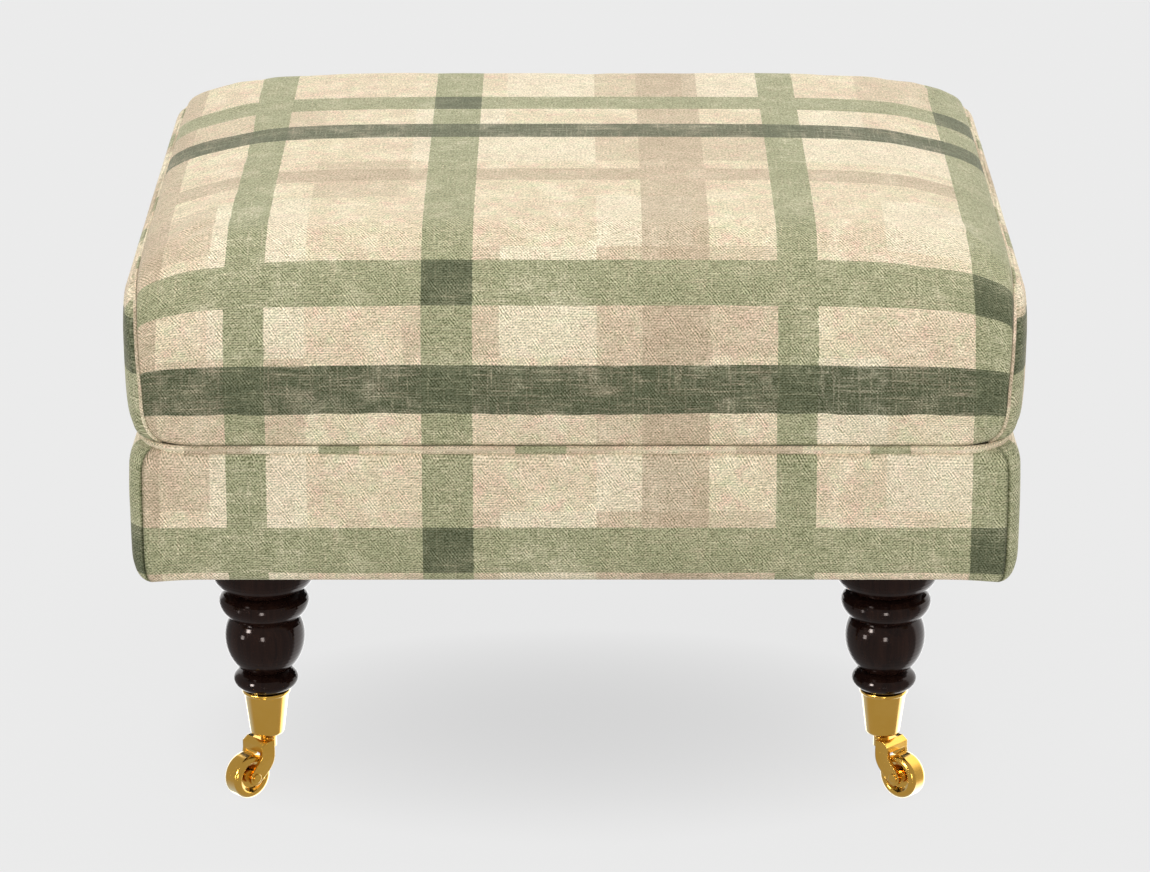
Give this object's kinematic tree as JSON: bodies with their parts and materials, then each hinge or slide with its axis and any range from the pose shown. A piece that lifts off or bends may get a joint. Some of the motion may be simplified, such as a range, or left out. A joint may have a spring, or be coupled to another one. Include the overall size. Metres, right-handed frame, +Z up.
{
  "type": "footstool",
  "caption": "Oblong upholstered footstool: deep crowned seat pad with piped side seams on a padded base, short turned legs with swivelling cup castors",
  "frame": {"origin": "on the floor, under the middle of the stool", "axes": "+X to the right along the longer side, +Y to the back, +Z up; the front faces -Y"},
  "size_m": [0.678, 0.585, 0.4548],
  "materials": {
    "printed_cloth": "slubby woven linen with a check of tan, beige and green",
    "piping_cloth": "bias strip of the same woven linen over a cord",
    "black_cloth": "thin matt black spun cloth",
    "hessian": "open plain weave",
    "webbing": "tight herringbone jute",
    "foam": "open-celled matt foam",
    "frame_wood": "planed bare beech",
    "dark_wood": "dark red-brown stain under glossy lacquer",
    "brass": "satin lacquered brass",
    "steel": "bright zinc plate"
  },
  "bodies": {
    "stool": {"rail_front": "frame_wood", "rail_back": "frame_wood", "rail_left": "frame_wood", "rail_right": "frame_wood", "corner_blocks": "frame_wood", "rail_dowels": "frame_wood", "leg_bolts": "steel", "leg_tee_nuts": "steel", "webbing_lengthwise": "webbing", "webbing_crosswise": "webbing", "hessian": "hessian", "dust_cover": "black_cloth", "pad_foam": "foam", "pad_wrap_cover": "printed_cloth", "pad_side_left": "printed_cloth", "pad_side_right": "printed_cloth", "seam_piping_left": "piping_cloth", "seam_piping_right": "piping_cloth", "joint_piping": "piping_cloth", "border_front": "printed_cloth", "border_back": "printed_cloth", "border_left": "printed_cloth", "border_right": "printed_cloth", "leg_front_left": "dark_wood", "leg_front_right": "dark_wood", "leg_back_left": "dark_wood", "leg_back_right": "dark_wood", "cup_front_left": "brass", "cup_front_right": "brass", "cup_back_left": "brass", "cup_back_right": "brass", "cup_screws": "brass", "swivel_pins": "brass", "swivel_collars": "brass"},
    "swivel_front_left": {"horn_front_left": "brass", "axle_front_left": "brass"},
    "roller_front_left": {"wheel_front_left": "brass"},
    "swivel_front_right": {"horn_front_right": "brass", "axle_front_right": "brass"},
    "roller_front_right": {"wheel_front_right": "brass"},
    "swivel_back_left": {"horn_back_left": "brass", "axle_back_left": "brass"},
    "roller_back_left": {"wheel_back_left": "brass"},
    "swivel_back_right": {"horn_back_right": "brass", "axle_back_right": "brass"},
    "roller_back_right": {"wheel_back_right": "brass"}
  },
  "joints": [
    {"name": "castor_swivel_front_left", "type": "hinge", "parent": "stool", "child": "swivel_front_left", "pos_m": [-0.238, -0.234, 0.044], "axis": [0, 0, 1], "continuous": true},
    {"name": "castor_swivel_front_right", "type": "hinge", "parent": "stool", "child": "swivel_front_right", "pos_m": [0.238, -0.234, 0.044], "axis": [0, 0, 1], "continuous": true},
    {"name": "castor_swivel_back_left", "type": "hinge", "parent": "stool", "child": "swivel_back_left", "pos_m": [-0.238, 0.234, 0.044], "axis": [0, 0, 1], "continuous": true},
    {"name": "castor_swivel_back_right", "type": "hinge", "parent": "stool", "child": "swivel_back_right", "pos_m": [0.238, 0.234, 0.044], "axis": [0, 0, 1], "continuous": true},
    {"name": "wheel_spin_front_left", "type": "hinge", "parent": "swivel_front_left", "child": "roller_front_left", "pos_m": [-0.2532, -0.2492, 0.0175], "axis": [0.7071, -0.7071, 0], "continuous": true},
    {"name": "wheel_spin_front_right", "type": "hinge", "parent": "swivel_front_right", "child": "roller_front_right", "pos_m": [0.2532, -0.2492, 0.0175], "axis": [0.7071, 0.7071, 0], "continuous": true},
    {"name": "wheel_spin_back_left", "type": "hinge", "parent": "swivel_back_left", "child": "roller_back_left", "pos_m": [-0.2532, 0.2492, 0.0175], "axis": [-0.7071, -0.7071, 0], "continuous": true},
    {"name": "wheel_spin_back_right", "type": "hinge", "parent": "swivel_back_right", "child": "roller_back_right", "pos_m": [0.2532, 0.2492, 0.0175], "axis": [-0.7071, 0.7071, 0], "continuous": true}
  ]
}
